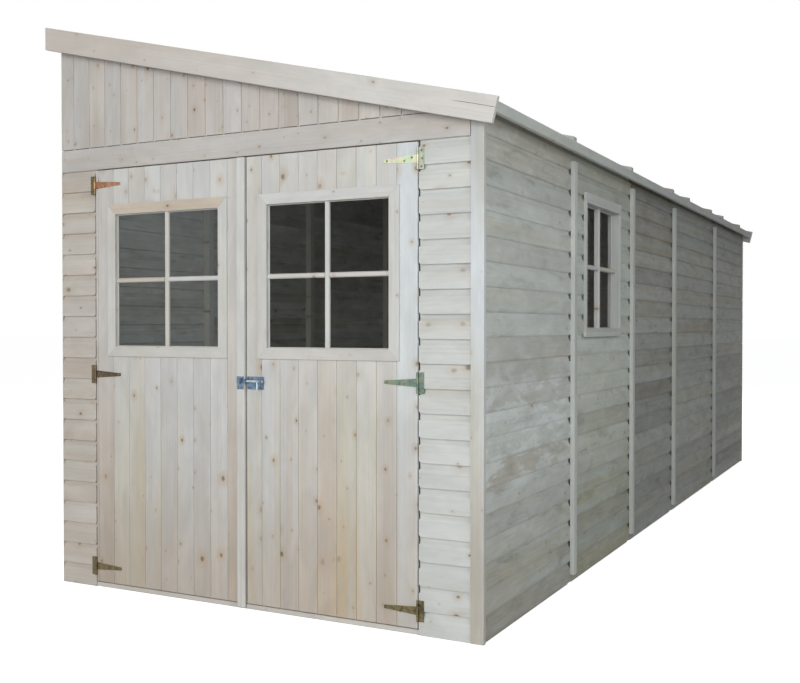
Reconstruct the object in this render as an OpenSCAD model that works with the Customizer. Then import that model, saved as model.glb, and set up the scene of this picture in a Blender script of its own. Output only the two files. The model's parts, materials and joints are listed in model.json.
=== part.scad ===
// Wooden garden shed with a lean-to roof, double doors and one side window.
// Millimetres, +Z up, the doors face -Y, the roof falls towards +X.
// The origin is the centre of the whole shed's outline on the floor.

/* [Overall] */
// Width over the cladding of the two side walls
shed_width = 1960; // [1700:10:2400]
// Length of each of the three front wall panels
front_module = 970; // [800:5:1200]
// Length of each of the two rear wall panels
rear_module = 1290; // [1000:5:1500]
// Height of the low wall at its outer face
low_wall_height = 1857; // [1700:1:2100]
// Slope of the roof in degrees
roof_pitch = 13.6; // [8:0.1:18]

/* [Walls] */
// Thickness of the wall cladding
clad_t = 16; // [12:1:22]
// Depth of the frame behind the cladding
frame_d = 34; // [28:1:50]
// Width of a stud or post
stud_w = 45; // [30:1:60]
// Height of a wall rail
rail_h = 45; // [30:1:60]
// Gap between two wall panels under a cover batten
panel_gap = 2; // [1:0.5:4]
// Width of a cover batten
batten_w = 38; // [28:1:60]
// Thickness of a cover batten
batten_t = 19; // [12:1:25]
// Height of a batten's lower end above the floor
batten_foot = 40; // [10:5:100]
// Distance from a batten's upper end to the top of the cladding
batten_head = 55; // [50:1:120]
// Width of a corner board
corner_w = 50; // [40:1:80]
// Thickness of a corner board
corner_t = 20; // [17:1:28]
// How far a corner board stands out in front of the cladding
corner_proud = 4; // [1:1:8]
// Gap between a corner board and the cladding beside it
corner_gap = 1; // [0.5:0.5:3]

/* [Doorway] */
// Width of the cladding between the left corner and the doorway
strip_left_w = 189; // [150:1:300]
// Width of the cladding between the doorway and the corner board
strip_right_w = 201; // [150:1:300]
// Thickness of a door leaf
leaf_t = 16; // [14:1:22]
// Gap round a door leaf
door_gap = 5; // [5:0.5:8]
// Gap between the two leaves
meet_gap = 6; // [5.5:0.5:10]
// Height of the sill board under the doors
sill_h = 19; // [10:1:40]
// How far the sill lies behind the face of the doors
sill_setback = 5; // [5:1:12]
// Distance from the header board's lower edge up to the top of the low wall
header_drop = 97; // [92:1:120]
// Distance from the header board's upper edge up to the top of the low wall
gable_drop = 5; // [3:1:12]
// How far the leaves meet to the right of the doorway's middle
meet_shift = 15; // [0:1:30]
// Width of the cover strip on the left leaf
cover_w = 36; // [30:1:50]
// Thickness of the cover strip on the left leaf
cover_t = 10; // [8:1:14]
// Height of the cover strip's lower end
cover_foot = 8; // [6:1:20]
// Width of a ledge on the back of a leaf
ledge_w = 90; // [60:1:110]
// Thickness of a ledge on the back of a leaf
ledge_t = 18; // [14:1:24]
// Distance from a ledge's end to the edge of its leaf
ledge_inset = 40; // [30:1:60]
// Height of the lowest ledge
ledge_low_z = 80; // [60:1:140]

/* [Windows] */
// Distance from a door's window frame to the edge of its leaf
door_window_margin = 70; // [50:1:120]
// Height of the glass in a door
door_glass_h = 548; // [440:1:600]
// Distance from the glass in a door up to the header board
door_glass_drop = 194; // [180:1:260]
// Width of the glass in the side wall
side_glass_w = 543; // [420:1:600]
// Height of the glass in the side wall
side_glass_h = 556; // [420:1:570]
// Distance from the glass in the side wall up to the top of the low wall
side_glass_drop = 209; // [180:1:300]
// How far the side window lies in front of its panel's middle
side_window_shift = 30; // [0:1:40]
// Thickness of the boards that line the side window's opening
side_jamb_t = 17; // [12:1:22]
// Face height of the side window's head
side_head_h = 45; // [36:1:54]
// Face height of the side window's foot
side_foot_h = 38; // [30:1:50]
// How far the side window's frame stands out from the wall
side_proud = 13; // [8:1:18]
// How far the glass in the side wall lies behind the face of the wall
side_glass_set = 35; // [30:1:38]
// Face width of a door's window frame
casing_w = 42; // [34:1:54]
// How far a door's window frame stands out from its leaf
casing_t = 9; // [6:1:14]
// Thickness of the glass
glass_t = 4; // [3:0.5:6]

/* [Roof] */
// Thickness of the roof panels
deck_t = 16; // [12:1:22]
// Gap between the roof panels and the pieces next to them
roof_seat = 0.1; // [0.05:0.05:0.5]
// Distance from the low wall to the eaves board
eaves_reach = 39; // [30:1:80]
// Distance from the high wall to the high edge board
high_reach = 22; // [15:1:60]
// Distance from the front and back walls to the barge boards
gable_reach = 34; // [25:1:60]
// Thickness of the barge, eaves and high edge boards
edge_t = 18; // [14:1:24]
// Width of a barge board
barge_w = 92; // [76:1:120]
// How far a barge board's upper corner reaches past the eaves board
barge_nose = 12; // [10:1:20]
// How far a barge board's upper edge stands above the roof panels
barge_rise = 16.5; // [10:0.5:24]
// Height of the eaves board
eaves_h = 40; // [34:1:60]
// Height of the high edge board
high_edge_h = 62; // [40:1:80]
// Width of a roof cover strip
strip_w = 40; // [30:1:60]
// Thickness of a roof cover strip
strip_t = 27; // [16:1:32]
// Share of the roof's length under the three front panels
roof_front_share = 0.5; // [0.45:0.001:0.55]
// Share of a narrow panel in each pair of rear panels
roof_narrow_share = 0.38; // [0.3:0.01:0.7]
// Depth of a rafter
rafter_d = 58; // [45:1:64]

/* [Hinges] */
// Height of the lower hinges
hinge_low_z = 88; // [80:1:140]
// Distance from the middle hinges up to the window frame
hinge_mid_drop = 76; // [45:1:120]
// Distance from the upper hinges up to the header board
hinge_high_drop = 66; // [50:1:100]
// Height of a hinge's fixed plate
plate_h = 76; // [70:1:100]
// Width of a hinge's fixed plate, from the pin
plate_w = 24; // [20:1:36]
// Thickness of the hinge metal
hinge_t = 2.5; // [2:0.1:3]
// Length of a strap, from the pin
strap_l = 136; // [120:1:180]
// Height of a strap at the pin
strap_root = 31; // [26:1:40]
// Height of a strap at its tip
strap_tip = 12; // [10:1:24]
// Radius of a hinge knuckle
knuckle_r = 4.5; // [4:0.1:4.8]
// Radius of a hinge pin
pin_r = 2.5; // [2:0.1:2.6]
// Clearance round a pin inside a strap's knuckle
pin_clear = 0.3; // [0.2:0.05:0.5]
// Gap along the pin between a strap's knuckle and the plate's knuckles
knuckle_gap = 0.8; // [0.6:0.1:2]
// Distance from the face of the doors to the pin axis
pin_reach = 5; // [4.9:0.1:6]

/* [Bolt] */
// Distance from the bolt's rod up to the window frame
bolt_drop = 86; // [40:1:140]
// Height of the base plate and of the keeper plate
bolt_plate_h = 50; // [40:1:60]
// Thickness of the base plate and of the keeper plate
bolt_plate_t = 2; // [1.5:0.1:3]
// How far the rod lies above the middle of its plates
bolt_rise = 8; // [4:1:10]
// Radius of the rod
rod_r = 5; // [4:0.1:6]
// Clearance round the rod in its guides
rod_clear = 0.4; // [0.3:0.1:1]
// Clearance round the rod in the keeper's loop
keeper_clear = 1.5; // [1:0.1:3]
// Thickness of the keeper's loop
keeper_wall = 2.5; // [2:0.5:4]
// Distance from the keeper plate to the middle of the rod
rod_lift = 8; // [7.5:0.5:12]
// Wall thickness of a guide round the rod
guide_wall = 3; // [2:0.5:4]
// Length of a guide along the rod
guide_l = 10; // [8:1:12]
// Distance between the rod's free end and the edge of its leaf
rod_setback = 6; // [5:1:10]
// Travel of the rod
rod_travel = 40; // [36:1:40]
// Distance from a bolt plate to the edge of the wood under it
plate_inset = 2; // [1:0.5:3]
// Radius of the rod's handle
handle_r = 4; // [3:0.1:4]
// Length of the rod's handle, from the rod's middle
handle_l = 34; // [24:1:40]
// Clearance between the handle and a guide at each end of the travel
handle_clear = 5; // [5:1:8]

/* [Hidden] */
$fn = 32;
overlap = 0.01;
right_x = (shed_width - eaves_reach - barge_nose + high_reach) / 2;
left_x = right_x - shed_width;
shed_length = 3 * front_module + 2 * rear_module;
front_y = -shed_length / 2;
back_y = shed_length / 2;
pitch_tan = tan(roof_pitch);
pitch_cos = cos(roof_pitch);
inner_right = right_x - clad_t - frame_d;
inner_left = left_x + clad_t + frame_d;
frame_y = back_y - clad_t;
corner_x = right_x - corner_w;
header_z = low_wall_height - header_drop;
header_top = low_wall_height - gable_drop;
joint_y = [
    front_y + front_module,
    front_y + 2 * front_module,
    front_y + 3 * front_module,
    back_y - rear_module
];
window_y = (joint_y[0] + joint_y[1]) / 2 - side_window_shift;
panel_y = [-frame_y, joint_y[0], joint_y[1], joint_y[2], joint_y[3], frame_y];
roof_end = back_y + gable_reach;
roof_front = 2 * roof_end * roof_front_share / 3;
roof_pair = 2 * roof_end * (1 - roof_front_share) / (2 + roof_narrow_share);
roof_middle = -roof_end + 3 * roof_front;
roof_joint_y = [
    -roof_end + roof_front,
    -roof_end + 2 * roof_front,
    roof_middle,
    roof_middle + roof_narrow_share * roof_pair,
    roof_middle + roof_pair,
    roof_middle + (1 + roof_narrow_share) * roof_pair,
    roof_middle + 2 * roof_pair
];
roof_y = concat([-roof_end], roof_joint_y, [roof_end]);
door_right = corner_x - strip_right_w;
door_left = left_x + strip_left_w;
leaf_w = (door_right - door_left - meet_gap) / 2 - door_gap;
leaf_z = sill_h + door_gap;
leaf_h = header_z - door_gap - leaf_z;
left_leaf_x = door_left + door_gap;
right_leaf_end = door_right - door_gap;
right_leaf_x = right_leaf_end - leaf_w + meet_shift;
left_leaf_end = left_leaf_x + leaf_w + meet_shift;
left_window_x = left_leaf_x + leaf_w / 2;
right_window_x = right_leaf_end - leaf_w / 2;
left_pin_x = door_left + door_gap / 2;
right_pin_x = door_right - door_gap / 2;
pin_y = front_y - pin_reach;
door_glass_w = leaf_w - 2 * door_window_margin - 2 * casing_w;
door_glass_z = header_z - door_glass_drop - door_glass_h;
side_glass_z = low_wall_height - side_glass_drop - side_glass_h;
door_frame_z = door_glass_z - casing_w;
hinge_z = [hinge_low_z, door_frame_z - hinge_mid_drop, header_z - hinge_high_drop];
bolt_z = door_frame_z - bolt_drop;
ledge_mid_z = door_frame_z - ledge_w - door_gap;
ledge_high_z = door_glass_z + door_glass_h + casing_w;
eaves_x = right_x + eaves_reach;
high_x = left_x - high_reach;
deck_rise = roof_seat + deck_t / pitch_cos;
strip_rise = roof_seat + strip_t / pitch_cos;
rod_y = front_y - cover_t - bolt_plate_t - rod_lift;
bolt_x = right_leaf_x + plate_inset;
bolt_plate_w = 2 * guide_l + rod_travel + 2 * handle_r + 2 * handle_clear;
keeper_x = left_leaf_end - cover_w + plate_inset;
keeper_w = cover_w - 2 * plate_inset;
guide_r = rod_r + rod_clear + guide_wall;
handle_x = bolt_x + bolt_plate_w - guide_l - handle_clear - handle_r;

// Underside of the roof panels at a given x
function under(x) = low_wall_height + (right_x - x) * pitch_tan;

// Box between two corners
module span(a, b) {
    translate(a) cube(b - a);
}

// Outline in x and z, drawn out from y0 to y1
module prism(points, y0, y1) {
    translate([0, y1, 0]) rotate([90, 0, 0]) linear_extrude(y1 - y0) polygon(points);
}

// Upright slab from x0 to x1 whose upper edge follows the roof
module under_roof(x0, x1, z0, y0, y1) {
    prism([[x0, z0], [x1, z0], [x1, under(x1)], [x0, under(x0)]], y0, y1);
}

// Sloping slab that lies from rise0 to rise1 above the underside of the roof
module on_slope(x0, x1, rise0, rise1, y0, y1) {
    prism([
        [x0, under(x0) + rise0],
        [x1, under(x1) + rise0],
        [x1, under(x1) + rise1],
        [x0, under(x0) + rise1]
    ], y0, y1);
}

module front_wall_left() {
    color("#cfc8bc") span([left_x, front_y, 0], [door_left, front_y + clad_t, header_z]);
}

module front_wall_right() {
    color("#cfc8bc")
        span([door_right, front_y, 0], [corner_x - corner_gap, front_y + clad_t, header_z]);
}

module front_sill() {
    color("#c8c0b2")
        span([door_left, front_y + sill_setback, 0], [door_right, -frame_y + frame_d, sill_h]);
}

module header_board(y0) {
    span([left_x, y0, header_z], [corner_x - corner_gap, y0 + clad_t, header_top]);
}

module front_header() {
    color("#cdc7bc") header_board(front_y);
}

module back_header() {
    color("#cdc7bc") header_board(frame_y);
}

module gable(y0) {
    under_roof(left_x, corner_x - corner_gap, header_top, y0, y0 + clad_t);
}

module front_gable() {
    color("#c4beb4") gable(front_y);
}

module back_gable() {
    color("#c4beb4") gable(frame_y);
}

module front_posts() {
    color("#bfb5a4")
        for (x = [inner_left, door_left - stud_w, door_right, inner_right - stud_w])
            span([x, -frame_y, 0], [x + stud_w, -frame_y + frame_d, header_z]);
}

module head_rail(y0) {
    span([inner_left, y0, header_z], [inner_right, y0 + frame_d, header_z + rail_h]);
}

module front_head_rail() {
    color("#bfb5a4") head_rail(-frame_y);
}

module corner_boards() {
    color("#d2ccc0") {
        under_roof(corner_x, right_x, 0, front_y - corner_proud, front_y - corner_proud + corner_t);
        under_roof(corner_x, right_x, 0, back_y + corner_proud - corner_t, back_y + corner_proud);
    }
}

// One panel of the right wall, from the front corner board to the back one
module right_panel(i) {
    y0 = panel_y[i] + (i == 0 ? corner_t - corner_proud - clad_t : panel_gap / 2);
    y1 = panel_y[i + 1] - (i == 4 ? corner_t - corner_proud - clad_t : panel_gap / 2);
    under_roof(right_x - clad_t, right_x, 0, y0, y1);
}

module right_wall_panels() {
    color("#b9b7ae") for (i = [0, 2, 3, 4]) right_panel(i);
}

module right_wall_window_panel() {
    color("#b9b7ae") difference() {
        right_panel(1);
        side_lining(right_x - 2 * clad_t, right_x + clad_t, side_jamb_t);
    }
}

// The cover battens of one side wall, on its outer face
module battens(x0, top) {
    for (y = joint_y)
        span([x0, y - batten_w / 2, batten_foot], [x0 + batten_t, y + batten_w / 2, top]);
}

module right_wall_battens() {
    color("#c9c6bc") battens(right_x, low_wall_height - batten_head);
}

module left_wall_battens() {
    color("#c9c6bc") battens(left_x - batten_t, under(left_x) - batten_head);
}

// The studs of one side wall, between its rails
module studs(x0, top) {
    for (y = concat([-frame_y + stud_w / 2], joint_y, [frame_y - stud_w / 2]))
        span([x0, y - stud_w / 2, rail_h], [x0 + frame_d, y + stud_w / 2, top]);
}

// The bottom and top rails of one side wall
module rails(x0) {
    x1 = x0 + frame_d;
    span([x0, -frame_y, 0], [x1, frame_y, rail_h]);
    under_roof(x0, x1, under(x1) - rail_h, -frame_y, frame_y);
}

module right_wall_studs() {
    color("#bfb5a4") studs(inner_right, under(inner_right + frame_d) - rail_h);
}

module right_wall_rails() {
    color("#bfb5a4") rails(inner_right);
}

module left_wall_studs() {
    color("#bfb5a4") studs(left_x + clad_t, under(inner_left) - rail_h);
}

module left_wall_rails() {
    color("#bfb5a4") rails(left_x + clad_t);
}

module left_wall_panels() {
    color("#b9b7ae")
        for (i = [0:4])
            under_roof(left_x, left_x + clad_t, 0,
                panel_y[i] + (i == 0 ? 0 : panel_gap / 2),
                panel_y[i + 1] - (i == 4 ? 0 : panel_gap / 2));
}

// Block from x0 to x1 that reaches past the side window's glass by rim on all four sides
module side_lining(x0, x1, rim) {
    span([x0, window_y - side_glass_w / 2 - rim, side_glass_z - rim],
        [x1, window_y + side_glass_w / 2 + rim, side_glass_z + side_glass_h + rim]);
}

// Boards through the wall's whole thickness, with a taller head and foot in front of the cladding
module side_window_frame() {
    half_w = side_glass_w / 2 + side_jamb_t;
    color("#cdc8bd") difference() {
        union() {
            side_lining(inner_right, right_x + side_proud, side_jamb_t);
            span([right_x, window_y - half_w, side_glass_z - side_foot_h],
                [right_x + side_proud, window_y + half_w, side_glass_z + side_glass_h + side_head_h]);
        }
        side_lining(inner_right - overlap, right_x + side_proud + overlap, 0);
    }
}

module side_window_glass() {
    color("#5b6163") side_lining(right_x - side_glass_set - glass_t, right_x - side_glass_set, 0);
}

module back_wall() {
    color("#b9b7ae") span([left_x, frame_y, 0], [corner_x - corner_gap, back_y, header_z]);
}

module back_posts() {
    color("#bfb5a4")
        for (x = [inner_left, (left_x + right_x - stud_w) / 2, inner_right - stud_w])
            span([x, frame_y - frame_d, rail_h], [x + stud_w, frame_y, header_z]);
}

module back_rails() {
    color("#bfb5a4") {
        span([inner_left, frame_y - frame_d, 0], [inner_right, frame_y, rail_h]);
        head_rail(frame_y - frame_d);
    }
}

module roof_panels() {
    color("#bdb6a8")
        for (i = [0:7])
            on_slope(high_x, eaves_x, roof_seat, deck_rise,
                roof_y[i] + (i == 0 ? 0 : panel_gap / 2),
                roof_y[i + 1] - (i == 7 ? 0 : panel_gap / 2));
}

module roof_cover_strips() {
    color("#c8c2b6")
        for (y = roof_joint_y)
            on_slope(high_x, eaves_x,
                deck_rise + roof_seat, deck_rise + strip_rise,
                y - strip_w / 2, y + strip_w / 2);
}

module rafters() {
    color("#bfb5a4")
        for (y = concat([-frame_y + frame_d / 2], roof_joint_y, [frame_y - frame_d / 2]))
            on_slope(inner_left, inner_right, -rafter_d / pitch_cos, 0, y - frame_d / 2, y + frame_d / 2);
}

// Sloping board with a plumb cut at the high end and a square cut at the low end
module barge(y0) {
    top = deck_rise + barge_rise;
    x0 = high_x - edge_t;
    x1 = eaves_x + edge_t + barge_nose;
    foot_x = x1 - barge_w * sin(roof_pitch);
    foot_z = under(x1) + top - barge_w * pitch_cos;
    prism([
        [x0, under(x0) + top - barge_w / pitch_cos],
        [foot_x, foot_z],
        [x1, under(x1) + top],
        [x0, under(x0) + top]
    ], y0, y0 + edge_t);
}

module barge_boards() {
    color("#c9bfb4") {
        barge(-roof_end - roof_seat - edge_t);
        barge(roof_end + roof_seat);
    }
}

module eaves_board() {
    top = under(eaves_x) + deck_rise;
    color("#c6c1b7") span([eaves_x, -roof_end, top - eaves_h], [eaves_x + edge_t, roof_end, top]);
}

module high_edge_board() {
    top = under(high_x) + deck_rise;
    color("#c6c1b7") span([high_x - edge_t, -roof_end, top - high_edge_h], [high_x, roof_end, top]);
}

// Fixed half of a T hinge: pin on the z axis, plate towards +X, wall face at y = pin_reach
module hinge_plate() {
    knuckle_z = strap_root / 2 + knuckle_gap;
    difference() {
        translate([0, pin_reach - hinge_t, -plate_h / 2]) cube([plate_w, hinge_t, plate_h]);
        translate([-overlap, 0, -knuckle_z])
            cube([knuckle_r + knuckle_gap, pin_reach + overlap, 2 * knuckle_z]);
    }
    for (z = [-plate_h / 2, knuckle_z])
        translate([0, 0, z]) cylinder(r = knuckle_r, h = plate_h / 2 - knuckle_z);
    translate([0, 0, -plate_h / 2]) cylinder(r = pin_r, h = plate_h);
}

// Moving half of a T hinge: knuckle on the z axis, strap towards -X
module hinge_strap() {
    difference() {
        union() {
            translate([0, pin_reach, 0])
                rotate([90, 0, 0])
                    linear_extrude(hinge_t)
                        polygon([
                            [0, -strap_root / 2],
                            [0, strap_root / 2],
                            [-strap_l, strap_tip / 2],
                            [-strap_l, -strap_tip / 2]
                        ]);
            cylinder(r = knuckle_r, h = strap_root, center = true);
        }
        cylinder(r = pin_r + pin_clear, h = 2 * strap_root, center = true);
    }
}

module hinge_plates() {
    color("#a59a5c")
        for (z = hinge_z) {
            translate([right_pin_x, pin_y, z]) hinge_plate();
            translate([left_pin_x, pin_y, z]) rotate([0, 180, 0]) hinge_plate();
        }
}

module left_door_straps() {
    color("#b08a52")
        for (z = hinge_z)
            translate([left_pin_x, pin_y, z]) rotate([0, 180, 0]) hinge_strap();
}

module right_door_straps() {
    color("#a5a065") for (z = hinge_z) translate([right_pin_x, pin_y, z]) hinge_strap();
}

// Window frame seen from the front: a ring round a w by h pane, t thick towards +Z
module casing(w, h, t) {
    linear_extrude(t) difference() {
        square([w + 2 * casing_w, h + 2 * casing_w], center = true);
        square([w, h], center = true);
    }
}

// Door leaf from x0 to x1 with an opening for a window in the middle of window_x
module leaf(x0, x1, window_x) {
    difference() {
        span([x0, front_y, leaf_z], [x1, front_y + leaf_t, leaf_z + leaf_h]);
        translate([window_x, front_y + leaf_t / 2, door_glass_z + door_glass_h / 2])
            cube([door_glass_w, 2 * leaf_t, door_glass_h], center = true);
    }
}

module ledges(x0, x1) {
    for (z = [ledge_low_z, ledge_mid_z, ledge_high_z])
        span([x0 + ledge_inset, front_y + leaf_t, z],
            [x1 - ledge_inset, front_y + leaf_t + ledge_t, z + ledge_w]);
}

module door_window_frame(window_x) {
    translate([window_x, front_y, door_glass_z + door_glass_h / 2])
        rotate([90, 0, 0])
            casing(door_glass_w, door_glass_h, casing_t);
}

module door_glass(window_x) {
    translate([window_x, front_y + leaf_t - glass_t / 2, door_glass_z + door_glass_h / 2])
        cube([door_glass_w, glass_t, door_glass_h], center = true);
}

module left_door_leaf() {
    color("#d3cbbd") leaf(left_leaf_x, left_leaf_end, left_window_x);
}

module left_door_ledges() {
    color("#bfb5a4") ledges(left_leaf_x, left_leaf_end);
}

module left_door_window_frame() {
    color("#d6cfc2") door_window_frame(left_window_x);
}

module left_door_glass() {
    color("#5b6163") door_glass(left_window_x);
}

module left_door_cover_strip() {
    color("#d6d0c4")
        span([left_leaf_end - cover_w, front_y - cover_t, cover_foot],
            [left_leaf_end, front_y, leaf_z + leaf_h]);
}

module right_door_leaf() {
    color("#d3cbbd") leaf(right_leaf_x, right_leaf_end, right_window_x);
}

module right_door_ledges() {
    color("#bfb5a4") ledges(right_leaf_x, right_leaf_end);
}

module right_door_window_frame() {
    color("#d6cfc2") door_window_frame(right_window_x);
}

module right_door_glass() {
    color("#5b6163") door_glass(right_window_x);
}

// Loop round the rod that starts at x0 and reaches back to the plate at face_y
module guide(x0, l, face_y) {
    difference() {
        union() {
            translate([x0, rod_y, bolt_z]) rotate([0, 90, 0]) cylinder(r = guide_r, h = l);
            span([x0, rod_y, bolt_z - guide_r], [x0 + l, face_y, bolt_z + guide_r]);
        }
        translate([x0 - overlap, rod_y, bolt_z])
            rotate([0, 90, 0])
                cylinder(r = rod_r + rod_clear, h = l + 2 * overlap);
    }
}

module bolt_plate() {
    z0 = bolt_z - bolt_rise - bolt_plate_h / 2;
    color("#8fa0b0") {
        span([bolt_x, front_y - bolt_plate_t, z0],
            [bolt_x + bolt_plate_w, front_y, z0 + bolt_plate_h]);
        guide(bolt_x, guide_l, front_y - overlap);
        guide(bolt_x + bolt_plate_w - guide_l, guide_l, front_y - overlap);
    }
}

// Plate on the cover strip with a square loop that takes the rod
module bolt_keeper() {
    z0 = bolt_z - bolt_rise - bolt_plate_h / 2;
    face = front_y - cover_t - bolt_plate_t;
    loop_x = keeper_x + (keeper_w - guide_l) / 2;
    hole = rod_r + keeper_clear;
    loop = hole + keeper_wall;
    color("#8fa0b0") {
        span([keeper_x, face, z0], [keeper_x + keeper_w, face + bolt_plate_t, z0 + bolt_plate_h]);
        difference() {
            span([loop_x, rod_y - loop, bolt_z - loop], [loop_x + guide_l, face + overlap, bolt_z + loop]);
            span([loop_x - overlap, rod_y - hole, bolt_z - hole],
                [loop_x + guide_l + overlap, face, bolt_z + hole]);
        }
    }
}

module bolt_rod() {
    x0 = right_leaf_x + rod_setback;
    color("#9aaab8") {
        translate([x0, rod_y, bolt_z])
            rotate([0, 90, 0])
                cylinder(r = rod_r, h = bolt_x + bolt_plate_w - x0 + rod_setback);
        translate([handle_x, rod_y, bolt_z - handle_l]) cylinder(r = handle_r, h = handle_l);
    }
}

front_wall_left();
front_wall_right();
front_sill();
front_header();
front_gable();
front_posts();
front_head_rail();
corner_boards();
right_wall_panels();
right_wall_window_panel();
right_wall_battens();
right_wall_studs();
right_wall_rails();
side_window_frame();
side_window_glass();
left_wall_panels();
left_wall_battens();
left_wall_studs();
left_wall_rails();
back_wall();
back_header();
back_gable();
back_posts();
back_rails();
roof_panels();
roof_cover_strips();
rafters();
barge_boards();
eaves_board();
high_edge_board();
hinge_plates();
left_door_leaf();
left_door_ledges();
left_door_window_frame();
left_door_glass();
left_door_straps();
left_door_cover_strip();
bolt_keeper();
right_door_leaf();
right_door_ledges();
right_door_window_frame();
right_door_glass();
right_door_straps();
bolt_plate();
bolt_rod();
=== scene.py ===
import json
import math
import random

import bmesh
import bpy
from mathutils import Matrix, Vector


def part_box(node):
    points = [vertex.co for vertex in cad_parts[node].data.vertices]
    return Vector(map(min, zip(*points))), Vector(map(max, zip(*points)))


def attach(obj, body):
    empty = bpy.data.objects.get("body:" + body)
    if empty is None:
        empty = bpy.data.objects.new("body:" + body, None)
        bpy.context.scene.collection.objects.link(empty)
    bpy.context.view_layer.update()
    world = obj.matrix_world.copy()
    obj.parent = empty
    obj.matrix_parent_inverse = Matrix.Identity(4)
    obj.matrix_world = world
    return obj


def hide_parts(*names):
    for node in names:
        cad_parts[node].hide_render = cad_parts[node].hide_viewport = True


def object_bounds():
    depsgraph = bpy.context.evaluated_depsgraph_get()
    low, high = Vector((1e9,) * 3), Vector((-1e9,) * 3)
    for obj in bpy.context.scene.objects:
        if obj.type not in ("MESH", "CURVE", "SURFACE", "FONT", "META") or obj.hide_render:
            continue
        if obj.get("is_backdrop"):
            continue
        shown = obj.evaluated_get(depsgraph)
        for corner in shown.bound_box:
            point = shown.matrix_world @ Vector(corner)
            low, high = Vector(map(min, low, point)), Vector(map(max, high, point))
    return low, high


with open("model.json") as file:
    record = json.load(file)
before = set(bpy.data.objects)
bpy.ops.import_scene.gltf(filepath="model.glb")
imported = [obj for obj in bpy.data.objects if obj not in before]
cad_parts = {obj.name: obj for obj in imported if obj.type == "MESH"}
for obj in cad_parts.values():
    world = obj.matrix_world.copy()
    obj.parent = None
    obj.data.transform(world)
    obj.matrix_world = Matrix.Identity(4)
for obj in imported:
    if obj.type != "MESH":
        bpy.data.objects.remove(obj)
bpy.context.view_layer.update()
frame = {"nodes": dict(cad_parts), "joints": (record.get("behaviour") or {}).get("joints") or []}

NODES = frame["nodes"]
RNG = random.Random(23)
X, Y, Z = Vector((1, 0, 0)), Vector((0, 1, 0)), Vector((0, 0, 1))
MM = 0.001
# a cladding board's height from lap to lap and its thickness, in mm and in metres
BOARD_H = 88.0
BOARD_D = 16.0
PITCH = BOARD_H * MM
BOARD_T = BOARD_D * MM
# the roof's fall, and its directions down the slope and square to it
ROOF_FALL = math.radians(13.6)
ROOF_TAN = math.tan(ROOF_FALL)
ROOF_COS = math.cos(ROOF_FALL)
SLOPE = Vector((ROOF_COS, 0, -ROOF_TAN * ROOF_COS))
RISE = Vector((ROOF_TAN * ROOF_COS, 0, ROOF_COS))


def lin(*rgb):
    """Colour as seen on screen, 11 to 255, as linear light."""
    return tuple(((c / 255 + 0.055) / 1.055) ** 2.4 for c in rgb)


# Materials

class Tree:
    """Short calls for building a shader node tree."""

    def __init__(self, name):
        self.mat = bpy.data.materials.new(name)
        self.mat.use_nodes = True
        self.nt = self.mat.node_tree
        self.nt.nodes.clear()

    def new(self, kind, **props):
        node = self.nt.nodes.new(kind)
        for k, v in props.items():
            setattr(node, k, v)
        return node

    def put(self, socket, value):
        if hasattr(value, "is_output"):
            self.nt.links.new(value, socket)
        elif value is not None:
            socket.default_value = value

    def fill(self, node, **sockets):
        """Sets or links a node's inputs by their names."""
        for k, v in sockets.items():
            self.put(node.inputs[k.replace("_", " ")], v)

    def math(self, op, a, b=None, c=None):
        node = self.new("ShaderNodeMath", operation=op)
        for s, v in zip(node.inputs, (a, b, c)):
            self.put(s, v)
        return node.outputs[0]

    def times(self, *values):
        out = values[0]
        for v in values[1:]:
            out = self.math("MULTIPLY", out, v)
        return out

    def scaled(self, vec, *factors):
        node = self.new("ShaderNodeVectorMath", operation="MULTIPLY")
        self.put(node.inputs[0], vec)
        node.inputs[1].default_value = factors
        return node.outputs[0]

    def join(self, x=None, y=None, z=None):
        node = self.new("ShaderNodeCombineXYZ")
        for s, v in zip(node.inputs, (x, y, z)):
            self.put(s, v)
        return node.outputs[0]

    def parts(self, vec):
        node = self.new("ShaderNodeSeparateXYZ")
        self.put(node.inputs[0], vec)
        return node.outputs

    def noise(self, vec, scale=1.0, detail=2.0, rough=0.5, dist=0.0):
        node = self.new("ShaderNodeTexNoise")
        self.fill(node, Vector=vec, Scale=scale, Detail=detail, Roughness=rough, Distortion=dist)
        return node.outputs["Fac"]

    def span(self, value, a, b, lo=0.0, hi=1.0):
        """Smooth step of a value from a to b, as lo to hi."""
        node = self.new("ShaderNodeMapRange", interpolation_type="SMOOTHSTEP", clamp=True)
        for s, v in zip(node.inputs, (value, a, b, lo, hi)):
            self.put(s, v)
        return node.outputs["Result"]

    def mix(self, fac, a, b, mode="MIX"):
        node = self.new("ShaderNodeMix", data_type="RGBA", blend_type=mode)
        self.put(node.inputs[0], fac)
        for s, v in ((node.inputs[6], a), (node.inputs[7], b)):
            self.put(s, v if hasattr(v, "is_output") else (*v, 1.0))
        return node.outputs[2]

    def ramp(self, fac, stops):
        node = self.new("ShaderNodeValToRGB")
        el = node.color_ramp.elements
        while len(el) < len(stops):
            el.new(0.5)
        for e, (p, c) in zip(el, stops):
            e.position = p
            e.color = (*c, 1.0)
        self.put(node.inputs["Fac"], fac)
        return node.outputs["Color"]

    def bump(self, height, strength, distance):
        node = self.new("ShaderNodeBump")
        self.fill(node, Strength=strength, Distance=distance, Height=height)
        return node.outputs["Normal"]

    def shade(self, **sockets):
        p = self.new("ShaderNodeBsdfPrincipled")
        out = self.new("ShaderNodeOutputMaterial")
        self.fill(p, **sockets)
        self.nt.links.new(p.outputs[0], out.inputs["Surface"])
        return self.mat


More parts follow.
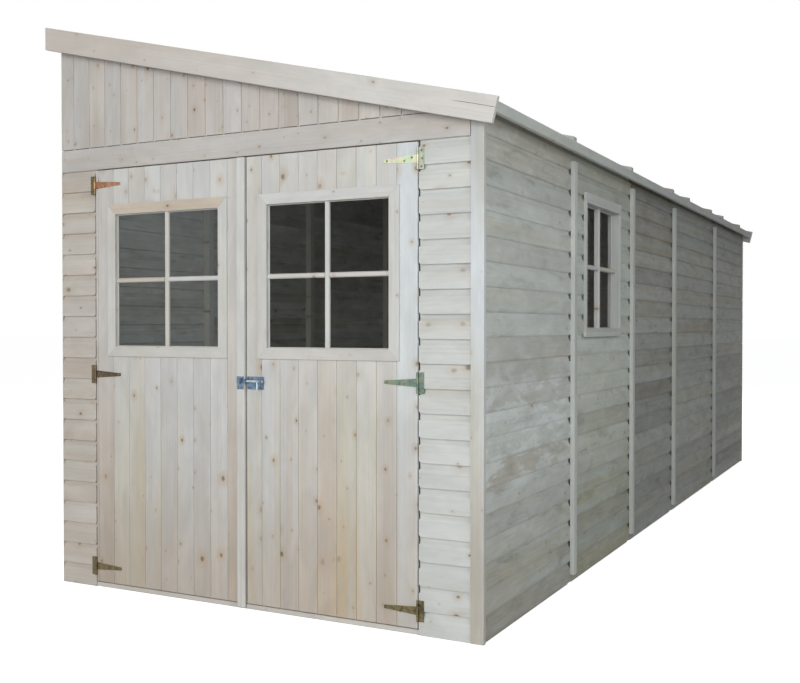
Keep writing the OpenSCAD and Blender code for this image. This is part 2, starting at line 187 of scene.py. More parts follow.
def knot_cells(t, vec, share, small, large):
    """Distance to the nearest knot in knot radii, 1 where its cell has a knot, and its depth of
    colour."""
    cells = t.new("ShaderNodeTexVoronoi", voronoi_dimensions="2D", feature="F1")
    t.fill(cells, Vector=vec, Scale=1.0, Randomness=0.95)
    pick, big, deep = t.parts(cells.outputs["Color"])
    radius = t.math("MULTIPLY_ADD", t.times(big, big), large - small, small)
    near = t.math("DIVIDE", cells.outputs["Distance"], radius)
    return near, t.span(pick, 1.0 - share, 1.01 - share), deep


def knot_marks(t, grain, share, large, crowd):
    """Shares of knot, of the smudge round it and of knots cut lengthwise. The knots sit in some
    cells of a flat pattern on the wide face."""
    cells = t.scaled(grain, 7.5 * crowd, 10.0 * crowd, 1.0)
    near, pick, deep = knot_cells(t, cells, share, 0.02, large)
    ragged = t.math("MULTIPLY_ADD", t.noise(grain, 260, 2), 0.9, near)
    colour = t.math("MULTIPLY_ADD", t.times(deep, deep), 0.6, 0.3)
    knot = t.times(t.span(ragged, 1.6, 0.9), pick, colour)
    halo = t.times(t.span(near, 4.2, 0.8), pick, t.math("MULTIPLY_ADD", deep, 0.5, 0.3))
    near, pick, deep = knot_cells(t, t.scaled(grain, 5.0, 2.2, 1.0), 0.4 * share, 0.03, 0.06)
    ragged = t.math("MULTIPLY_ADD", t.noise(grain, 120, 3), 1.6, near)
    spike = t.times(t.span(ragged, 2.6, 0.8), pick, t.math("MULTIPLY_ADD", deep, 0.3, 0.15))
    return knot, halo, spike


def growth_rings(t, grain):
    """Growth rings cut by the face."""
    wave = t.new("ShaderNodeTexWave", wave_type="BANDS", bands_direction="Y", wave_profile="SAW")
    t.fill(wave, Vector=t.scaled(grain, 0.6, 44.0, 26.0), Scale=0.45, Distortion=9.0)
    t.fill(wave, Detail=3.0, Detail_Scale=0.6)
    return t.span(wave.outputs["Fac"], 0.35, 1.0)


# Tints that belong to a place on the shed. Each pair is the two places, in metres, at which the tint
# starts to show and shows in full.
DOOR_BROWN_FROM = (0.65, 0.05)
DOOR_PALE_FROM = (0.55, 1.1)
DOOR_STAIN_FROM = (1.3, 0.5)
DOOR_EDGE_X = (0.61, 0.64)
DOOR_EDGE_FROM = (0.4, 1.0)
WARM_LEFT_X = (0.34, 0.38)
WARM_RIGHT_X = (0.56, 0.5)
WARM_FROM = (0.6, 0.2)


def door_tones(t, place, bands, stain, col):
    """The doors are warmer towards the foot, paler above the middle and at the right edge, with
    soft ochre streaks low on the right door."""
    x, _, height = t.parts(place)
    warm = t.times(t.span(x, *WARM_LEFT_X), t.span(x, *WARM_RIGHT_X), t.span(height, *WARM_FROM))
    stain = t.times(stain, t.span(height, *DOOR_STAIN_FROM, 0.1, 0.6))
    stain = t.math("MULTIPLY_ADD", warm, t.span(bands, 0.4, 0.6, 0.0, 0.45), stain)
    col = t.mix(t.span(height, *DOOR_BROWN_FROM, 0.0, 0.5), col, lin(176, 160, 143))
    col = t.mix(t.span(height, *DOOR_PALE_FROM, 0.0, 0.5), col, lin(210, 211, 211))
    edge = t.times(t.span(x, *DOOR_EDGE_X), t.span(height, *DOOR_EDGE_FROM, 0.45, 1.0))
    col = t.mix(t.times(edge, 0.6), col, lin(214, 222, 227))
    return stain, col


WINDOW_PANEL_Y = (-0.78, -0.83)
FIRST_PANEL_Y = (-1.75, -1.8)
BLEACHED_FROM = (0.5, 0.9)
BLEACHED_TO = (1.7, 1.45)
FADED_FROM = (0.45, 0.6)
FADED_TO = (1.0, 0.85)
SIDE_FOOT_FROM = (0.6, 0.15)
EAVES_SHADOW_FROM = (1.45, 1.85)


def side_tones(t, place, patch, col, light):
    """The right wall is darker under the eaves, a painted shadow of the eaves that is deeper on the far
    panels. Its two panels nearest the front are bleached at the middle and dark at the foot; the first
    has faded patches and the second is greener."""
    _, y, height = t.parts(place)
    front = t.span(y, *WINDOW_PANEL_Y)
    first = t.span(y, *FIRST_PANEL_Y)
    bleached = t.times(front, t.span(height, *BLEACHED_FROM), t.span(height, *BLEACHED_TO))
    foot = t.times(front, t.span(height, *SIDE_FOOT_FROM))
    # a painted shadow of the eaves darkens the top of the wall, more on the far panels
    eaves_shadow = t.math("MULTIPLY_ADD", front, 0.2, 0.7)
    light = t.times(light, t.math("MULTIPLY_ADD", bleached, 0.11, 1.0))
    light = t.times(light, t.math("MULTIPLY_ADD", foot, -0.17, 1.0))
    light = t.times(light, t.span(height, *EAVES_SHADOW_FROM, 1.0, eaves_shadow))
    col = t.mix(t.times(bleached, 0.25), col, lin(204, 212, 216))
    faded = t.times(first, t.span(height, *FADED_FROM), t.span(height, *FADED_TO))
    faded = t.times(faded, t.span(patch, 0.5, 0.56))
    col = t.mix(t.times(faded, 0.4), col, lin(224, 230, 233))
    col = t.mix(t.math("SUBTRACT", front, first), col, (0.925, 0.942, 0.895), "MULTIPLY")
    return col, light


CORNER_PALE_FROM = (0.75, 1.2)
CORNER_PALE_TO = (1.75, 1.3)
CORNER_BROWN_FROM = (0.85, 0.25)
CORNER_SHADOW_FROM = (1.45, 1.85)


def corner_tones(t, place, col):
    """The corner board is bluish white above the middle, brown towards the foot and darker under
    the roof, a painted shadow of the roof."""
    height = t.parts(place)[2]
    pale = t.times(t.span(height, *CORNER_PALE_FROM), t.span(height, *CORNER_PALE_TO))
    col = t.mix(pale, col, (1.14, 1.19, 1.34), "MULTIPLY")
    col = t.mix(t.span(height, *CORNER_BROWN_FROM), col, (0.88, 0.82, 0.78), "MULTIPLY")
    # a painted shadow of the roof darkens the top of the board
    return t.mix(t.span(height, *CORNER_SHADOW_FROM), col, (0.87, 0.86, 0.89), "MULTIPLY")


SPLIT_AT = (0.848, -2.797, 1.8796)
SPLIT_LENGTH = 185 * MM
SPLIT_WANDER = 6 * MM
SPLIT_ACROSS = (2.0 * MM, 0.5 * MM)
SPLIT_START = (0.0, 0.05)
SPLIT_END = (SPLIT_LENGTH, SPLIT_LENGTH - 0.01)
FRONT_BOARD = (0.1, 0.05)
BARGE_BROWN_X = (0.3, -0.9)


def barge_tones(t, place, col, height):
    """The barge boards are browner towards the high side, and the front one has an open split
    along its grain near the low end."""
    node = t.new("ShaderNodeVectorMath", operation="SUBTRACT")
    t.put(node.inputs[0], place)
    node.inputs[1].default_value = SPLIT_AT
    off = node.outputs[0]
    dots = []
    for axis in (SLOPE, RISE):
        node = t.new("ShaderNodeVectorMath", operation="DOT_PRODUCT")
        t.put(node.inputs[0], off)
        node.inputs[1].default_value = axis
        dots.append(node.outputs["Value"])
    along, across = dots
    wander = t.times(t.math("SUBTRACT", t.noise(off, 16.0), 0.5), SPLIT_WANDER)
    from_line = t.math("ABSOLUTE", t.math("SUBTRACT", across, wander))
    ends = t.times(t.span(along, *SPLIT_START), t.span(along, *SPLIT_END))
    slit = t.times(t.span(from_line, *SPLIT_ACROSS), ends, t.span(t.parts(off)[1], *FRONT_BOARD))
    col = t.mix(t.span(t.parts(place)[0], *BARGE_BROWN_X, 0.0, 0.4), col, lin(192, 178, 166))
    col = t.mix(t.times(slit, 0.75), col, lin(92, 74, 60))
    return col, t.math("SUBTRACT", height, t.times(slit, 2.0))


def weather(t, grain, mottle, col):
    """Patches bleached and darkened by the weather."""
    patch = t.noise(t.scaled(grain, 5.0, 17.0, 17.0), 1.0, 5.0, 0.62, 0.4)
    col = t.mix(t.times(t.span(patch, 0.52, 0.7), mottle), col, lin(214, 219, 218))
    col = t.mix(t.times(t.span(patch, 0.48, 0.3), mottle), col, lin(142, 141, 130))
    return patch, col


def wood(name, tints, late, ochre, knots=0.5, streak=0.2, mottle=0.0, knot_max=0.076, crowd=1.0, kind=""):
    """Planed spruce. Its grain runs along the first axis of the grain attribute, and the tone
    attribute gives each board its share of tint, of ochre streaks and of lightness. kind is door,
    side, corner or barge where the wood has tints by its place, with a painted shadow of the roof
    on side and corner, and side needs a mottle."""
    t = Tree(name)
    grain = t.new("ShaderNodeAttribute", attribute_name="grain").outputs["Vector"]
    tone = t.new("ShaderNodeAttribute", attribute_name="tone").outputs["Vector"]
    tint, streaky, lightness = t.parts(tone)
    place = t.new("ShaderNodeTexCoord").outputs["Object"]
    knot, halo, spike = knot_marks(t, grain, knots, knot_max, crowd)
    # grain that bends round the knots
    node = t.new("ShaderNodeVectorMath", operation="ADD")
    t.put(node.inputs[0], grain)
    t.put(node.inputs[1], t.join(0.0, t.times(halo, 0.008), 0.0))
    bent = node.outputs[0]
    bands = t.noise(t.scaled(bent, 0.5, 15.0, 15.0), 1.0, 3.0, 0.55, 0.5)
    wide = t.noise(t.scaled(bent, 0.7, 34.0, 34.0), 1.0, 3.0, 0.55, 0.8)
    fine = t.noise(t.scaled(bent, 5.0, 120.0, 120.0), 1.0, 4.0, 0.65, 0.8)
    cloud = t.noise(t.scaled(grain, 3.5, 10.0, 10.0), 1.0, 4.0, 0.6, 0.6)
    hair = t.noise(t.scaled(bent, 12.0, 800.0, 800.0), 1.0, 2.0)
    rings = growth_rings(t, bent)
    shift = t.math("MULTIPLY_ADD", tint, 0.4, 0.05)
    stops = list(zip((0.3, 0.44, 0.57, 0.7), tints))
    col = t.ramp(t.math("MULTIPLY_ADD", bands, 0.5, shift), stops)
    dark = t.times(rings, t.span(wide, 0.4, 0.7), streak)
    dark = t.math("MULTIPLY_ADD", t.span(fine, 0.48, 0.72), 0.12, dark)
    col = t.mix(dark, col, late)
    stain = t.times(t.span(wide, 0.46, 0.68), t.span(streaky, 0.6, 1.0), 0.6)
    # the doors' knots are paler, in wider smudges
    smudge, core = 0.4, lin(100, 78, 62)
    if kind == "door":
        smudge, core = 0.6, lin(118, 97, 78)
        stain, col = door_tones(t, place, bands, stain, col)
    col = t.mix(stain, col, ochre)
    if mottle:
        patch, col = weather(t, grain, mottle, col)
    col = t.mix(spike, col, lin(184, 160, 124))
    col = t.mix(t.times(halo, smudge), col, lin(184, 158, 126))
    col = t.mix(knot, col, core)
    light = t.math("MULTIPLY_ADD", lightness, 0.12, t.math("MULTIPLY_ADD", hair, 0.12, 0.88))
    light = t.times(light, t.span(cloud, 0.3, 0.7, 0.93, 1.07))
    if kind == "side":
        col, light = side_tones(t, place, patch, col, light)
    if kind == "corner":
        col = corner_tones(t, place, col)
    col = t.mix(1.0, col, t.join(light, light, light), "MULTIPLY")
    height = t.math("MULTIPLY_ADD", rings, 0.3, t.times(fine, 0.5))
    height = t.math("MULTIPLY_ADD", hair, 0.25, height)
    if kind == "barge":
        col, height = barge_tones(t, place, col, height)
    return t.shade(Base_Color=col, Roughness=t.span(fine, 0.3, 0.8, 0.6, 0.8),
                   Normal=t.bump(height, 0.3, 0.6 * MM), Specular_IOR_Level=0.22)


# where the tints of metal and glass change: the heights that part the hinges, half the height of each
# change, and the places along X where the right and left doors' tints come in
MIDDLE_FROM = 0.5
UPPER_FROM = 1.3
BLEND = 0.05
RIGHT_X = (-0.1, 0.1)
LEFT_X = (-0.1, -0.2)


def metal(name, stops, rough=0.36, tint=(), right=(), grain=(30.0, 30.0, 30.0)):
    """Plated steel with cloudy tints. tint and right hold other stops, each with the height above
    which they show; those of right show on the right door's side alone."""
    t = Tree(name)
    pos = t.new("ShaderNodeTexCoord").outputs["Object"]
    x, _, z = t.parts(pos)
    cloud = t.noise(t.scaled(pos, *grain), 1.0, 3.0, 0.6, 1.2)
    speck = t.noise(pos, 420.0, 2.0)
    tone = t.span(cloud, 0.28, 0.72)
    col = t.ramp(tone, stops)
    for other, height in tint:
        col = t.mix(t.span(z, height - BLEND, height + BLEND), col, t.ramp(tone, other))
    for other, height in right:
        above = t.span(z, height - BLEND, height + BLEND)
        col = t.mix(t.times(above, t.span(x, *RIGHT_X)), col, t.ramp(tone, other))
    col = t.mix(t.times(t.span(speck, 0.55, 0.8), 0.3), col, lin(92, 86, 70))
    polish = t.span(cloud, 0.3, 0.7, rough - 0.06, rough + 0.12)
    return t.shade(Base_Color=col, Metallic=0.55, Roughness=polish, Normal=t.bump(speck, 0.25, 0.3 * MM))


def glass():
    """Thin panes: mostly clear, with a film of dust that is thicker and paler on the left door, where it is
    also a painted reflection.
    """
    t = Tree("window_glass")
    pos = t.new("ShaderNodeTexCoord").outputs["Object"]
    dust = t.noise(pos, 7.0, 5.0, 0.6)
    left = t.span(t.parts(pos)[0], *LEFT_X)
    # the film is dust, and on the left door also a painted reflection
    dust_and_reflection_film = t.math("MULTIPLY_ADD", left, 0.07, t.span(dust, 0.3, 0.7, 0.06, 0.14))
    tint = t.mix(left, lin(52, 55, 54), lin(116, 123, 126))
    return t.shade(Base_Color=tint, Alpha=dust_and_reflection_film, Roughness=t.span(dust, 0.4, 0.8, 0.02, 0.08),
                   Specular_IOR_Level=0.3, Normal=t.bump(t.noise(pos, 3.0), 0.08, 2 * MM))


def spruce(*tints):
    """A kind of board's tints, in the order of the ramp."""
    return [lin(*c) for c in tints]


FRONT_TINTS = spruce((193, 183, 173), (200, 195, 188), (202, 202, 199), (201, 196, 184))
DOOR_TINTS = spruce((193, 183, 173), (200, 195, 189), (202, 203, 203), (202, 196, 181))
GABLE_TINTS = spruce((190, 181, 173), (198, 192, 187), (200, 199, 198), (198, 193, 183))
GREY_TINTS = spruce((182, 177, 168), (196, 195, 189), (200, 203, 201), (194, 189, 174))
RIGHT_TINTS = spruce((195, 193, 188), (202, 203, 200), (204, 206, 205), (202, 200, 193))
BRIGHT_TINTS = spruce((198, 191, 183), (205, 202, 197), (208, 209, 208), (204, 200, 190))
COOL_TINTS = spruce((190, 189, 184), (199, 201, 199), (201, 204, 203), (198, 197, 188))
BARGE_TINTS = spruce((200, 192, 185), (205, 202, 198), (206, 206, 204), (203, 198, 191))
FRAME_TINTS = spruce((188, 181, 168), (198, 194, 184), (197, 195, 188), (196, 185, 162))
ROOF_TINTS = spruce((186, 174, 156), (198, 192, 180), (196, 194, 187), (196, 182, 156))
TAN_TINTS = spruce((203, 189, 174), (207, 196, 183), (207, 197, 186), (205, 187, 164))
LATE = lin(172, 158, 140)
OCHRE = lin(200, 178, 142)
GREY_LATE, GREY_OCHRE = lin(166, 158, 142), lin(190, 176, 148)
COOL_LATE, COOL_OCHRE = lin(176, 170, 158), lin(196, 186, 168)
W_CLAD = wood("clad_spruce", FRONT_TINTS, LATE, lin(198, 180, 154), knots=0.75, knot_max=0.11)
W_RIGHT = wood("right_clad_spruce", RIGHT_TINTS, LATE, lin(198, 184, 164), knots=0.8, knot_max=0.13)
W_SIDE = wood("side_spruce", GREY_TINTS, GREY_LATE, GREY_OCHRE, knots=0.35, mottle=0.45, kind="side")
W_LEFT = wood("left_side_spruce", GREY_TINTS, GREY_LATE, GREY_OCHRE, knots=0.35, mottle=0.6)
W_GABLE = wood("gable_spruce", GABLE_TINTS, LATE, lin(192, 180, 164), knots=0.9, knot_max=0.1, crowd=1.5)
W_DOOR = wood("door_spruce", DOOR_TINTS, LATE, OCHRE, knots=0.8, streak=0.24, knot_max=0.11, kind="door")
W_TAN = wood("tan_spruce", TAN_TINTS, LATE, lin(196, 172, 142), knots=0.3)
W_TRIM = wood("trim_spruce", BRIGHT_TINTS, LATE, lin(204, 186, 158))
W_COOL = wood("cool_trim_spruce", COOL_TINTS, COOL_LATE, COOL_OCHRE, knots=0.35)
W_CORNER = wood("corner_spruce", COOL_TINTS, COOL_LATE, COOL_OCHRE, kind="corner")
W_BARGE = wood("barge_spruce", BARGE_TINTS, lin(184, 166, 154), lin(200, 186, 174), knots=0.3, kind="barge")
W_FRAME = wood("frame_spruce", FRAME_TINTS, lin(168, 154, 132), lin(190, 168, 132))
W_ROOF = wood("roof_spruce", ROOF_TINTS, lin(168, 152, 128), lin(190, 166, 130), mottle=0.2)


def zinc(*tints):
    """Evenly spaced stops of a metal's ramp."""
    return [(i / (len(tints) - 1), lin(*c)) for i, c in enumerate(tints)]


OLIVE = zinc((62, 53, 36), (92, 81, 52), (114, 101, 65), (76, 71, 52))
BROWN = zinc((66, 54, 44), (92, 78, 58), (108, 96, 70))
COPPER = zinc((132, 92, 68), (158, 114, 86), (174, 134, 108))
TEAL = zinc((78, 80, 66), (90, 108, 96), (90, 120, 112), (126, 126, 100), (98, 126, 98))
PALE = zinc((172, 178, 150), (168, 190, 164), (194, 192, 150), (188, 172, 162), (156, 182, 176))
LIME = zinc((118, 124, 108), (142, 158, 138), (168, 160, 150), (130, 156, 126))
BLUE = zinc((44, 62, 84), (96, 122, 146), (72, 102, 132), (150, 170, 184), (60, 82, 108))
M_LEFT_STRAP = metal("left_strap_zinc", OLIVE, tint=[(BROWN, MIDDLE_FROM), (COPPER, UPPER_FROM)])
M_RIGHT_STRAP = metal("right_strap_zinc", OLIVE, tint=[(TEAL, MIDDLE_FROM), (PALE, UPPER_FROM)])
M_PLATE = metal("hinge_plate_zinc", OLIVE, tint=[(BROWN, MIDDLE_FROM), (OLIVE, UPPER_FROM)],
                right=[(TEAL, MIDDLE_FROM), (LIME, UPPER_FROM)])
M_BOLT = metal("bolt_zinc", BLUE, rough=0.3, grain=(240.0, 240.0, 60.0))
# the rod's pale blue-white tints are partly a painted highlight
M_ROD = metal("rod_zinc", zinc((138, 156, 168), (186, 198, 206), (160, 178, 192)), rough=0.26)
M_SCREW = metal("screw_zinc", zinc((84, 78, 66), (120, 112, 88), (98, 94, 86)))
M_GLASS = glass()


# Mesh builders

def own_mesh(node):
    """A CAD node's mesh with its flat faces whole and its corners welded."""
    bm = bmesh.new()
    bm.from_mesh(NODES[node].data)
    bmesh.ops.remove_doubles(bm, verts=bm.verts, dist=1e-6)
    bmesh.ops.dissolve_limit(bm, angle_limit=0.02, verts=bm.verts, edges=bm.edges)
    return bm


def islands(bm):
    """The count of separate solids in a bmesh, and each vertex's solid."""
    bm.verts.index_update()
    seen, count = {}, 0
    for v in bm.verts:
        if v.index in seen:
            continue
        seen[v.index] = count
        stack = [v]
        while stack:
            for e in stack.pop().link_edges:
                for w in e.verts:
                    if w.index not in seen:
                        seen[w.index] = count
                        stack.append(w)
        count += 1
    return count, seen


def boxes(node):
    """Lowest and highest corner of each solid in a CAD node, sorted along Y."""
    bm = own_mesh(node)
    count, seen = islands(bm)
    out = [[Vector((9e9,) * 3), Vector((-9e9,) * 3)] for _ in range(count)]
    for v in bm.verts:
        b = out[seen[v.index]]
        b[0], b[1] = Vector(map(min, b[0], v.co)), Vector(map(max, b[1], v.co))
    bm.free()
    return sorted(out, key=lambda b: b[0].y)


# Lowest and highest share of tint, of ochre streaks and of lightness among a piece's boards
MIXED = ((0.2, 0.85), (0.0, 1.0), (0.2, 0.9))
NEAR = ((0.05, 0.95), (0.0, 1.0), (-0.2, 1.1))
PINKISH = ((0.1, 0.36), (0.0, 0.7), (0.4, 0.9))
BLUISH = ((0.5, 0.72), (0.0, 0.6), (0.6, 1.0))
VARIED = ((0.05, 1.0), (0.0, 1.0), (0.2, 0.9))
DULL = ((0.2, 0.6), (0.0, 0.85), (0.0, 0.7))
# FAR and THIRD give the right wall's far boards less lightness, a painted shade for the weaker light far
# along the wall
FAR = ((0.2, 0.85), (0.0, 1.0), (-3.2, -0.8))
THIRD = ((0.2, 0.85), (0.0, 1.0), (-3.8, -1.4))


def somewhere():
    """A board's own place in the grain."""
    return Vector((RNG.uniform(0, 40), RNG.uniform(0, 40), RNG.uniform(0, 9)))


class Piece:
    """Closed solids gathered into one mesh, each with its own place in the grain and its tone."""

    def __init__(self, name, body, slot, material, *nodes, mood=MIXED):
        self.name, self.body, self.slot, self.mat, self.nodes = name, body, slot, material, nodes
        self.mood = mood
        self.verts, self.faces, self.grain, self.tone = [], [], [], []

    def pick(self):
        """The tone of one board."""
        return tuple(RNG.uniform(*r) for r in self.mood)

    def place(self, along, across, tone=None, off=None):
        """Returns a function that adds a vertex of one board."""
        depth = along.cross(across)
        off = off or somewhere()
        tone = tone or self.pick()

        def add(p):
            self.verts.append(tuple(p))
            self.grain.append((p.dot(along) + off.x, p.dot(across) + off.y, p.dot(depth) + off.z))
            self.tone.append(tone)
        return add

    def prism(self, ring0, ring1, along, across, tone=None, off=None):
        """A solid between two end outlines with the same count of points."""
        base, n = len(self.verts), len(ring0)
        add = self.place(along, across, tone, off)
        for p in list(ring0) + list(ring1):
            add(p)
        self.faces.append([base + i for i in range(n)])
        self.faces.append([base + n + i for i in reversed(range(n))])
        for i in range(n):
            j = (i + 1) % n
            self.faces.append([base + i, base + n + i, base + n + j, base + j])

    def solids(self, bm, along, across, tone=None):
        """The solids of a bmesh, which is freed."""
        count, seen = islands(bm)
        adders = [self.place(along, across, tone) for _ in range(count)]
        base = len(self.verts)
        for v in bm.verts:
            adders[seen[v.index]](v.co)
        for f in bm.faces:
            self.faces.append([base + v.index for v in f.verts])
        bm.free()

    def make(self):
        me = bpy.data.meshes.new(self.name)
        me.from_pydata(self.verts, [], self.faces)
        bm = bmesh.new()
        bm.from_mesh(me)
        bmesh.ops.recalc_face_normals(bm, faces=bm.faces)
        bm.to_mesh(me)
        bm.free()
        for label, rows in (("grain", self.grain), ("tone", self.tone)):
            a = me.attributes.new(label, "FLOAT_VECTOR", "POINT")
            a.data.foreach_set("vector", [c for row in rows for c in row])
        return show(me, self.mat, self.body, self.nodes)


def show(me, mat, body, nodes=()):
    """Puts a mesh in the scene, on its body, in place of the CAD nodes named."""
    me.materials.append(mat)
    ob = bpy.data.objects.new(me.name, me)
    bpy.context.scene.collection.objects.link(ob)
    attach(ob, body)
    if nodes:
        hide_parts(*nodes)
    return ob


def ease(bm, edge):
    """Rounds every edge a little."""
    bmesh.ops.bevel(bm, geom=list(bm.edges), offset=edge, segments=2, profile=0.6, affect="EDGES",
                    clamp_overlap=True)


def board(piece, lo, hi, along, across, edge=1 * MM, tone=None):
    """A straight board between two corners, with eased edges."""
    bm = bmesh.new()
    bmesh.ops.create_cube(bm, size=1.0)
    for v in bm.verts:
        v.co = Vector([(l + h) / 2 + c * (h - l) for l, h, c in zip(lo, hi, v.co)])
    ease(bm, edge)
    piece.solids(bm, along, across, tone)


def dressed(node, body, slot, mat, along, across, edge=2 * MM, tone=None):
    """A CAD node's boards with eased edges and grain along one direction."""
    bm = own_mesh(node)
    ease(bm, edge)
    piece = Piece(node + "_eased", body, slot, mat, node)
    piece.solids(bm, along, across, tone)
    return piece.make()


def clip(poly, axis, value, above):
    """The part of a closed outline on one side of a line across one of its axes."""
    out = []
    for p, q in zip(poly, poly[1:] + poly[:1]):
        p_in, q_in = [r[axis] == value or (r[axis] > value) == above for r in (p, q)]
        if p_in:
            out.append(p)
        if p_in != q_in:
            f = (value - p[axis]) / (q[axis] - p[axis])
            out.append(tuple(a + (b - a) * f for a, b in zip(p, q)))
    return out if len(out) >= 3 else []


# A shiplap board's outline is a list of depths behind its face and heights above its foot, in mm: a
# flat face, a scoop under the next board's lip, the inner face with a relief groove, and the lip. At
# the front the scoop is a deep smooth curve and the lip is crisp. On the sides the scoop is open and
# the lip round. Near a joint the lap is cut to a notch.
DEEP_FROM = 56.0
DEEP = 12.8
OPEN_FROM = 64.0
OPEN = 8.4
LIP_H = 12.0
NOTCH_D = 12.5
CORNER = 1.0
RELIEF_D = 8.0
RELIEF_LOW = 23.0
RELIEF_HIGH = 47.0
RELIEF_LIP = 1.5
RELIEF_STEP = 1.0
RELIEF_RUN = 3.0
QUARTER = math.pi / 2


def curve(steps, depth, height):
    """Points of a curve from 0 to 1 by two formulas."""
    shares = [i / steps for i in range(steps + 1)]
    return [(depth(u), height(u)) for u in shares]


DEEP_SCOOP = curve(
    8, lambda u: DEEP * u * u * (3 - 2 * u), lambda u: DEEP_FROM + (BOARD_H - DEEP_FROM) * u)
OPEN_SCOOP = curve(
    5, lambda u: OPEN * math.sin(u * QUARTER), lambda u: OPEN_FROM + (BOARD_H - OPEN_FROM) * u)
ROUND_LIP = curve(
    5, lambda u: OPEN * (1 - math.sin(u * QUARTER)), lambda u: LIP_H * (1 - math.cos(u * QUARTER)))
INNER = [
    (BOARD_D - CORNER, BOARD_H), (BOARD_D, BOARD_H - CORNER),
    (BOARD_D, RELIEF_HIGH + RELIEF_RUN), (BOARD_D - RELIEF_LIP, RELIEF_HIGH + RELIEF_STEP),
    (RELIEF_D, RELIEF_HIGH), (RELIEF_D, RELIEF_LOW),
    (BOARD_D - RELIEF_LIP, RELIEF_LOW - RELIEF_STEP), (BOARD_D, RELIEF_LOW - RELIEF_RUN),
    (BOARD_D, CORNER), (BOARD_D - CORNER, 0.0),
]
CRISP = DEEP_SCOOP + INNER + [(CORNER, 0.0), (0.0, CORNER)]
ROUND = OPEN_SCOOP + INNER + ROUND_LIP
NOTCHED = (
    [(0.0, OPEN_FROM), (NOTCH_D, OPEN_FROM + 2.0), (NOTCH_D, BOARD_H)] + INNER
    + [(NOTCH_D, 0.0), (NOTCH_D - 0.5, LIP_H / 4), (0.0, LIP_H / 2)]
)
# lengths of the notches beside the near battens and the window, beside the far battens and at the doors
SIDE_NOTCH = 22 * MM
FAR_NOTCH = 34 * MM
DOOR_NOTCH = 5 * MM
# a board narrower than this is left out
SLIVER = 2 * MM


def shiplap(piece, out, along, face, s0, s1, z0, z1, shape, cuts=(0.0, 0.0), phase=0.0, hole=None):
    """Level boards from s0 to s1 on a wall that faces out, with a window's hole left open. cuts holds
    the lengths at the two ends over which the laps are cut deeper."""
    k = math.floor((z0 - phase) / PITCH)
    while phase + k * PITCH < z1 - SLIVER:
        zb = phase + k * PITCH
        k += 1
        outlines = []
        for points in (shape, NOTCHED):
            points = [(d * MM, zb + z * MM) for d, z in points]
            outlines.append(clip(clip(points, 1, z0, True), 1, z1, False))
        plain, cut = outlines
        if not plain or not cut:
            continue
        a, b = s0 + cuts[0], s1 - cuts[1]
        parts = [(s0, a, cut), (a, b, plain), (b, s1, cut)]
        if hole and zb < hole[3] and zb + PITCH > hole[2]:
            h0, h1, foot, head = hole
            near = h0 - SIDE_NOTCH
            parts = [(s0, a, cut), (a, near, plain), (near, h0, cut), (h1, b, plain), (b, s1, cut),
                     (h0, h1, clip(plain, 1, foot, False)), (h0, h1, clip(plain, 1, head, True))]
        tone, off = piece.pick(), somewhere()
        for a, b, q in parts:
            if q and b > a:
                rings = [[along * s + out * (face - d) + Z * z for d, z in q] for s in (a, b)]
                piece.prism(*rings, along, Z, tone, off)


# Upright boards: the groove between two faces, its depth down to the tongue, the eased edges of the
# face across and in depth, and the eased edges of the back
GROOVE_W = 1.4 * MM
TONGUE_D = 6 * MM
EASE_W = 1.4 * MM
EASE_D = 1.2 * MM
BACK_EASE = 1.5 * MM


def upright(piece, out, face, x0, x1, low, high, line, pitch, hole=None, groove=GROOVE_W):
    """Upright tongued boards from x0 to x1 with a groove at line; low and high give the ends at x."""
    a = line - pitch * math.ceil((line - x0) / pitch)
    while a < x1 - SLIVER:
        b = a + pitch
        edge = a + groove
        outline = [
            (a, TONGUE_D), (edge, TONGUE_D), (edge, EASE_D), (edge + EASE_W, 0.0),
            (b - EASE_W, 0.0), (b, EASE_D), (b, BOARD_T - BACK_EASE), (b - BACK_EASE, BOARD_T),
            (a + BACK_EASE, BOARD_T), (a, BOARD_T - BACK_EASE),
        ]
        a = b
        outline = clip(clip(outline, 0, x0, True), 0, x1, False)
        if not outline:
            continue
        tone, off = piece.pick(), somewhere()
        parts = [(outline, low, high)]
        if hole:
            h0, h1, foot, head = hole
            before, after = clip(outline, 0, h0, False), clip(outline, 0, h1, True)
            middle = clip(clip(outline, 0, h0, True), 0, h1, False)
            parts = [(before, low, high), (after, low, high),
                     (middle, low, lambda x: foot), (middle, lambda x: head, high)]
        for q, lo, hi in parts:
            if q:
                rings = [[X * x + out * (face - d) + Z * end(x) for x, d in q] for end in (lo, hi)]
                piece.prism(*rings, Z, X, tone, off)


def block(piece, out, face, xs, depths, zs, along, across):
    """A plain block between two places along a wall, two depths behind its face and two heights."""
    ring = [(xs[0], depths[0]), (xs[1], depths[0]), (xs[1], depths[1]), (xs[0], depths[1])]
    rings = [[X * x + out * (face - d) + Z * z for x, d in ring] for z in zs]
    piece.prism(*rings, along, across)


# Walls

RIGHT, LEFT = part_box("right_wall_panels")[1].x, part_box("left_wall_panels")[0].x
FRONT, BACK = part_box("front_wall_left")[0].y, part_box("back_wall")[1].y
LOW_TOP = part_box("right_wall_panels")[1].z - BOARD_T * ROOF_TAN
SIDE_PHASE = 6 * MM
END_STRIP = 2.5 * MM
END_STRIP_EDGE = 0.4 * MM


def under(x):
    """Underside of the roof at x."""
    return LOW_TOP + (RIGHT - x) * ROOF_TAN


